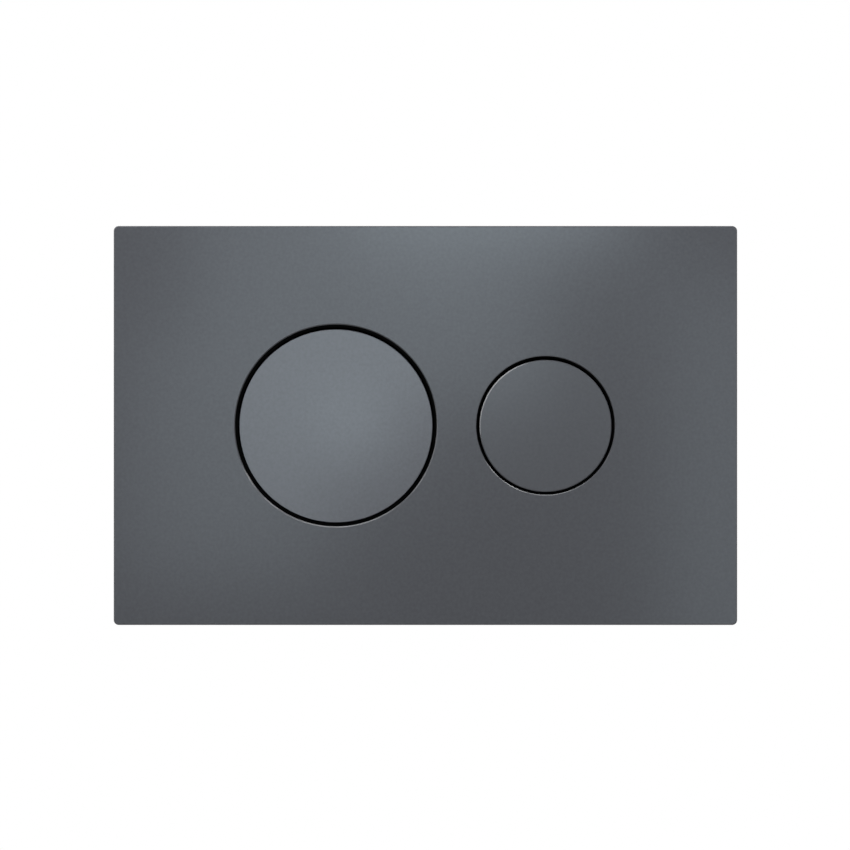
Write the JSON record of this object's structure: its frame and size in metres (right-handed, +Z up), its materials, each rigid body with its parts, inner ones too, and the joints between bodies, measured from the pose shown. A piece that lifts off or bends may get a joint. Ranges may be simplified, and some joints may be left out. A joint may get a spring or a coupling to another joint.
{
  "type": "flush button plate",
  "caption": "Rectangular satin grey wall plate with a large and a small round push button, spring carrier, mounting frame and push rods for a concealed cistern.",
  "frame": {"origin": "on the finished wall, behind the middle of the plate", "axes": "+X to the right as the user faces the plate, +Y into the wall, +Z up"},
  "size_m": [0.25, 0.093, 0.16],
  "materials": {
    "plate_paint": "satin dark grey paint on a moulded cover",
    "button_paint": "satin grey paint, a little lighter than the plate",
    "black_plastic": "black moulded plastic",
    "frame_plastic": "dark grey moulded plastic",
    "white_acetal": "natural white acetal",
    "pale_nylon": "pale grey nylon",
    "zinc_steel": "zinc plated",
    "spring_steel": "bright drawn steel"
  },
  "bodies": {
    "plate": {"face_plate": "plate_paint", "button_carrier": "black_plastic", "carrier_screws": "zinc_steel", "full_button_spring": "spring_steel", "half_button_spring": "spring_steel", "mounting_frame": "frame_plastic", "fixing_screws": "pale_nylon", "top_left_clip": "spring_steel", "top_right_clip": "spring_steel", "bottom_left_clip": "spring_steel", "bottom_right_clip": "spring_steel"},
    "full_button": {"full_button_cap": "button_paint", "full_button_base": "black_plastic"},
    "full_rod": {"full_push_rod": "white_acetal", "full_rod_head": "pale_nylon", "full_rod_locknut": "black_plastic"},
    "half_button": {"half_button_cap": "button_paint", "half_button_base": "black_plastic"},
    "half_rod": {"half_push_rod": "white_acetal", "half_rod_head": "pale_nylon", "half_rod_locknut": "black_plastic"}
  },
  "joints": [
    {"name": "full_button_press", "type": "slide", "parent": "plate", "child": "full_button", "axis": [0, 1, 0], "range_m": [0, 0.006], "stiffness_N_per_m": 800, "springref_m": -0.006, "deforming": ["full_button_spring"]},
    {"name": "full_rod_slide", "type": "slide", "parent": "plate", "child": "full_rod", "axis": [0, 1, 0], "range_m": [0, 0.006]},
    {"name": "half_button_press", "type": "slide", "parent": "plate", "child": "half_button", "axis": [0, 1, 0], "range_m": [0, 0.006], "stiffness_N_per_m": 800, "springref_m": -0.006, "deforming": ["half_button_spring"]},
    {"name": "half_rod_slide", "type": "slide", "parent": "plate", "child": "half_rod", "axis": [0, 1, 0], "range_m": [0, 0.006]}
  ],
  "couplings": [
    {"joint": "full_rod_slide", "follows": "full_button_press", "ratio": 1},
    {"joint": "half_rod_slide", "follows": "half_button_press", "ratio": 1}
  ]
}
